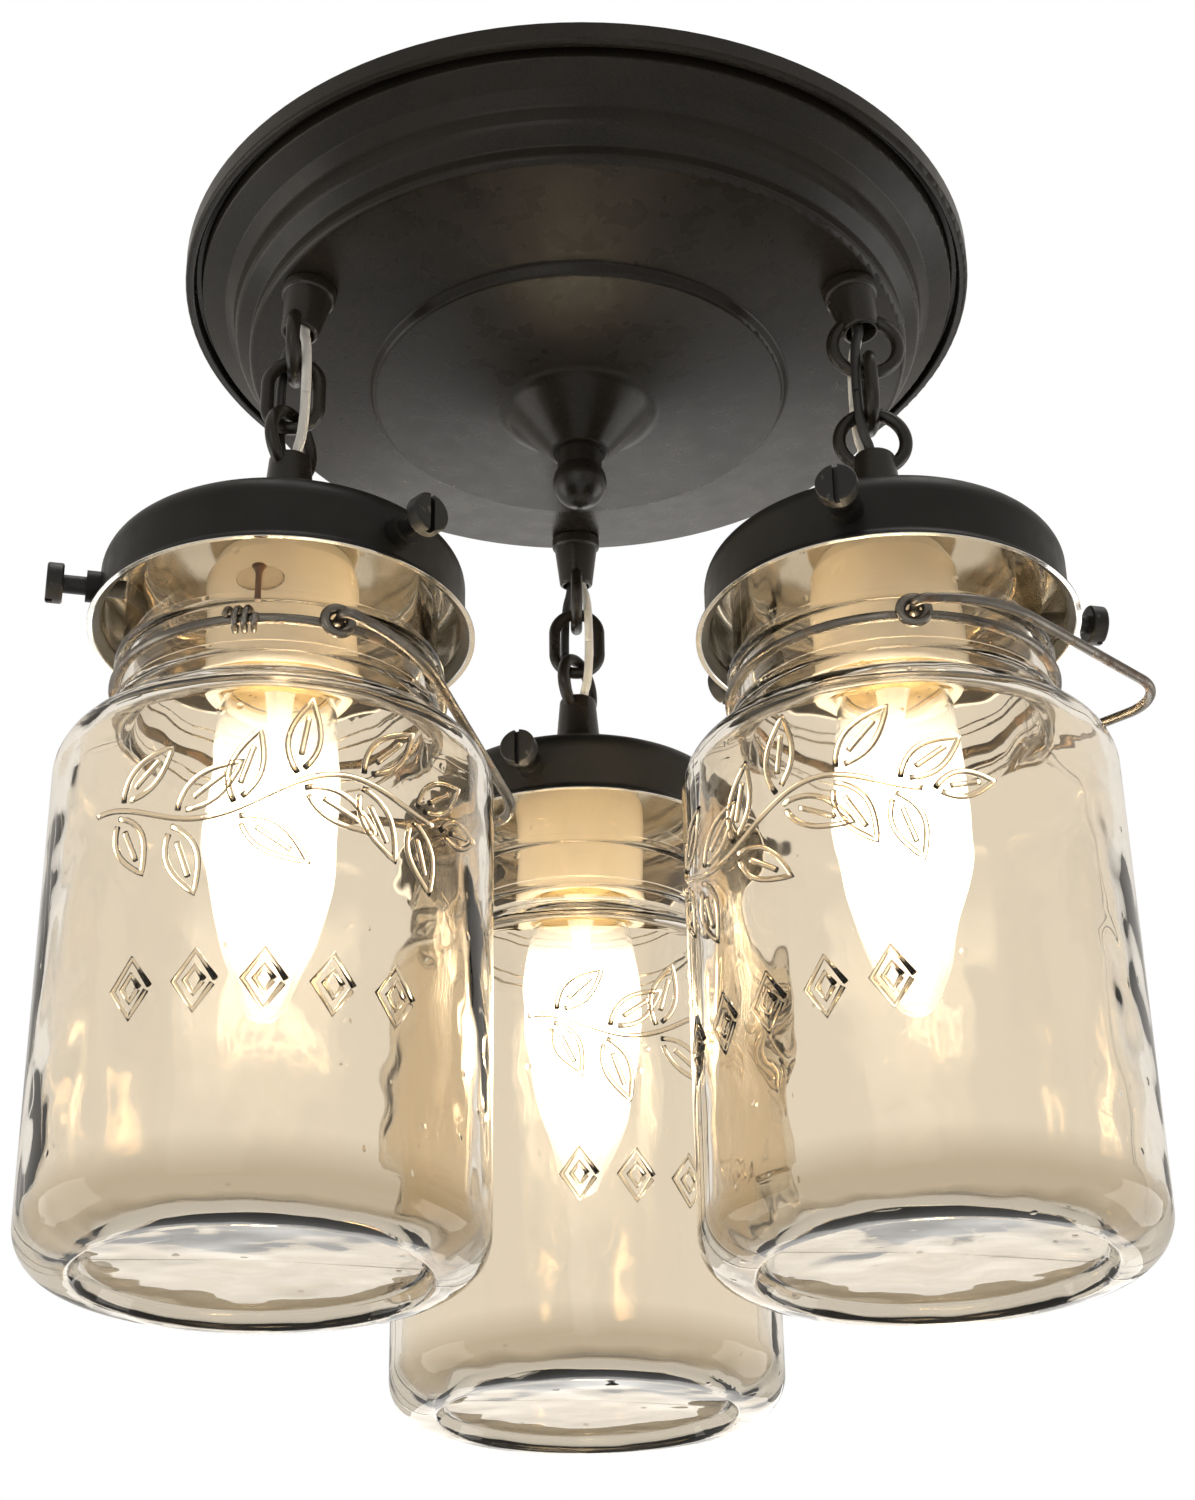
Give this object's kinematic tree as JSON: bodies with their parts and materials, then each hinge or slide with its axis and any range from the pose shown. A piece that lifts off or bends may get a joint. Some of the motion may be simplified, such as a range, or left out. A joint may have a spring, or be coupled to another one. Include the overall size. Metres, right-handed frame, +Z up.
{
  "type": "jar ceiling light",
  "caption": "Semi-flush ceiling light: a stepped round canopy with short chains that carry clear glass jars, each held by thumbscrews in a metal cup around a bulb.",
  "frame": {"origin": "centre of the ceiling plane, on the mounting bar's top face", "axes": "+Z up towards the ceiling, +Y towards the back jar, +X to the right in the picture"},
  "size_m": [0.2493, 0.2288, 0.2746],
  "materials": {
    "bronze": "satin dark bronze",
    "black_metal": "satin black",
    "zinc_steel": "zinc plated",
    "ground_green": "green plated",
    "nut_plastic": "moulded",
    "porcelain": "glazed white",
    "brass": "plain",
    "bulb_clear": "clear",
    "filament": "glowing",
    "jar_clear": "clear pressed glass",
    "bail_steel": "aged wire",
    "wire_black": "insulation",
    "wire_white": "insulation"
  },
  "bodies": {
    "fixture": {"canopy_pan": "bronze", "finial": "bronze", "mounting_bar": "zinc_steel", "center_stud": "zinc_steel", "stud_nut": "zinc_steel", "loop_nuts": "zinc_steel", "ground_screw": "ground_green", "hot_wire_nut": "nut_plastic", "neutral_wire_nut": "nut_plastic", "canopy_loop_left": "bronze", "hot_wire_left": "wire_black", "neutral_wire_left": "wire_white", "canopy_loop_right": "bronze", "hot_wire_right": "wire_black", "neutral_wire_right": "wire_white", "canopy_loop_back": "bronze", "hot_wire_back": "wire_black", "neutral_wire_back": "wire_white"},
    "link_left": {"chain_link_left": "bronze"},
    "pendant_left": {"holder_loop_left": "bronze", "shade_holder_left": "black_metal", "socket_left": "porcelain", "socket_contacts_left": "brass", "jar_left": "jar_clear", "neck_wire_left": "bail_steel"},
    "bulb_left": {"bulb_base_left": "brass", "bulb_glass_left": "bulb_clear", "bulb_filament_left": "filament"},
    "thumbscrew_left_1": {"thumbscrew_left_1": "black_metal"},
    "thumbscrew_left_2": {"thumbscrew_left_2": "black_metal"},
    "thumbscrew_left_3": {"thumbscrew_left_3": "black_metal"},
    "bail_left": {"bail_left": "bail_steel"},
    "link_right": {"chain_link_right": "bronze"},
    "pendant_right": {"holder_loop_right": "bronze", "shade_holder_right": "black_metal", "socket_right": "porcelain", "socket_contacts_right": "brass", "jar_right": "jar_clear", "neck_wire_right": "bail_steel"},
    "bulb_right": {"bulb_base_right": "brass", "bulb_glass_right": "bulb_clear", "bulb_filament_right": "filament"},
    "thumbscrew_right_1": {"thumbscrew_right_1": "black_metal"},
    "thumbscrew_right_2": {"thumbscrew_right_2": "black_metal"},
    "thumbscrew_right_3": {"thumbscrew_right_3": "black_metal"},
    "bail_right": {"bail_right": "bail_steel"},
    "link_back": {"chain_link_back": "bronze"},
    "pendant_back": {"holder_loop_back": "bronze", "shade_holder_back": "black_metal", "socket_back": "porcelain", "socket_contacts_back": "brass", "jar_back": "jar_clear"},
    "bulb_back": {"bulb_base_back": "brass", "bulb_glass_back": "bulb_clear", "bulb_filament_back": "filament"},
    "thumbscrew_back_1": {"thumbscrew_back_1": "black_metal"},
    "thumbscrew_back_2": {"thumbscrew_back_2": "black_metal"},
    "thumbscrew_back_3": {"thumbscrew_back_3": "black_metal"}
  },
  "joints": [
    {"name": "link_swing_left", "type": "hinge", "parent": "fixture", "child": "link_left", "pos_m": [-0.06869, -0.03966, -0.05358], "axis": [0, 1, 0], "range_deg": [-5, 15], "deforming": ["hot_wire_left", "neutral_wire_left"]},
    {"name": "pendant_swing_left", "type": "hinge", "parent": "link_left", "child": "pendant_left", "pos_m": [-0.06869, -0.03966, -0.06888], "axis": [1, 0, 0], "range_deg": [-15, 3.5], "deforming": ["hot_wire_left", "neutral_wire_left"]},
    {"name": "bulb_turn_left", "type": "hinge", "parent": "pendant_left", "child": "bulb_left", "pos_m": [-0.06869, -0.03966, -0.12993], "axis": [0, 0, 1], "continuous": true},
    {"name": "thumbscrew_slide_left_1", "type": "slide", "parent": "pendant_left", "child": "thumbscrew_left_1", "axis": [-0.9781, -0.2079, 0], "range_m": [0, 0.0035]},
    {"name": "thumbscrew_slide_left_2", "type": "slide", "parent": "pendant_left", "child": "thumbscrew_left_2", "axis": [0.6691, -0.7431, 0], "range_m": [0, 0.0035]},
    {"name": "thumbscrew_slide_left_3", "type": "slide", "parent": "pendant_left", "child": "thumbscrew_left_3", "axis": [0.309, 0.9511, 0], "range_m": [0, 0.0035]},
    {"name": "bail_turn_left", "type": "hinge", "parent": "pendant_left", "child": "bail_left", "pos_m": [-0.06869, -0.03966, -0.14238], "axis": [0.4067, -0.9135, 0], "range_deg": [0, 33]},
    {"name": "link_swing_right", "type": "hinge", "parent": "fixture", "child": "link_right", "pos_m": [0.06869, -0.03966, -0.05358], "axis": [1, 0, 0], "range_deg": [-15, 3.5], "deforming": ["hot_wire_right", "neutral_wire_right"]},
    {"name": "pendant_swing_right", "type": "hinge", "parent": "link_right", "child": "pendant_right", "pos_m": [0.06869, -0.03966, -0.06888], "axis": [0, 1, 0], "range_deg": [-15, 5], "deforming": ["hot_wire_right", "neutral_wire_right"]},
    {"name": "bulb_turn_right", "type": "hinge", "parent": "pendant_right", "child": "bulb_right", "pos_m": [0.06869, -0.03966, -0.12993], "axis": [0, 0, 1], "continuous": true},
    {"name": "thumbscrew_slide_right_1", "type": "slide", "parent": "pendant_right", "child": "thumbscrew_right_1", "axis": [0.9781, 0.2079, 0], "range_m": [0, 0.0035]},
    {"name": "thumbscrew_slide_right_2", "type": "slide", "parent": "pendant_right", "child": "thumbscrew_right_2", "axis": [-0.6691, 0.7431, 0], "range_m": [0, 0.0035]},
    {"name": "thumbscrew_slide_right_3", "type": "slide", "parent": "pendant_right", "child": "thumbscrew_right_3", "axis": [-0.309, -0.9511, 0], "range_m": [0, 0.0035]},
    {"name": "bail_turn_right", "type": "hinge", "parent": "pendant_right", "child": "bail_right", "pos_m": [0.06869, -0.03966, -0.14238], "axis": [0, -1, 0], "range_deg": [-8, 15]},
    {"name": "link_swing_back", "type": "hinge", "parent": "fixture", "child": "link_back", "pos_m": [0, 0.07931, -0.05358], "axis": [0, 1, 0], "range_deg": [-4, 4], "deforming": ["hot_wire_back", "neutral_wire_back"]},
    {"name": "pendant_swing_back", "type": "hinge", "parent": "link_back", "child": "pendant_back", "pos_m": [0, 0.07931, -0.06888], "axis": [1, 0, 0], "range_deg": [-4, 15], "deforming": ["hot_wire_back", "neutral_wire_back"]},
    {"name": "bulb_turn_back", "type": "hinge", "parent": "pendant_back", "child": "bulb_back", "pos_m": [0, 0.07931, -0.12993], "axis": [0, 0, 1], "continuous": true},
    {"name": "thumbscrew_slide_back_1", "type": "slide", "parent": "pendant_back", "child": "thumbscrew_back_1", "axis": [0.9781, 0.2079, 0], "range_m": [0, 0.0035]},
    {"name": "thumbscrew_slide_back_2", "type": "slide", "parent": "pendant_back", "child": "thumbscrew_back_2", "axis": [-0.6691, 0.7431, 0], "range_m": [0, 0.0035]},
    {"name": "thumbscrew_slide_back_3", "type": "slide", "parent": "pendant_back", "child": "thumbscrew_back_3", "axis": [-0.309, -0.9511, 0], "range_m": [0, 0.0035]}
  ]
}
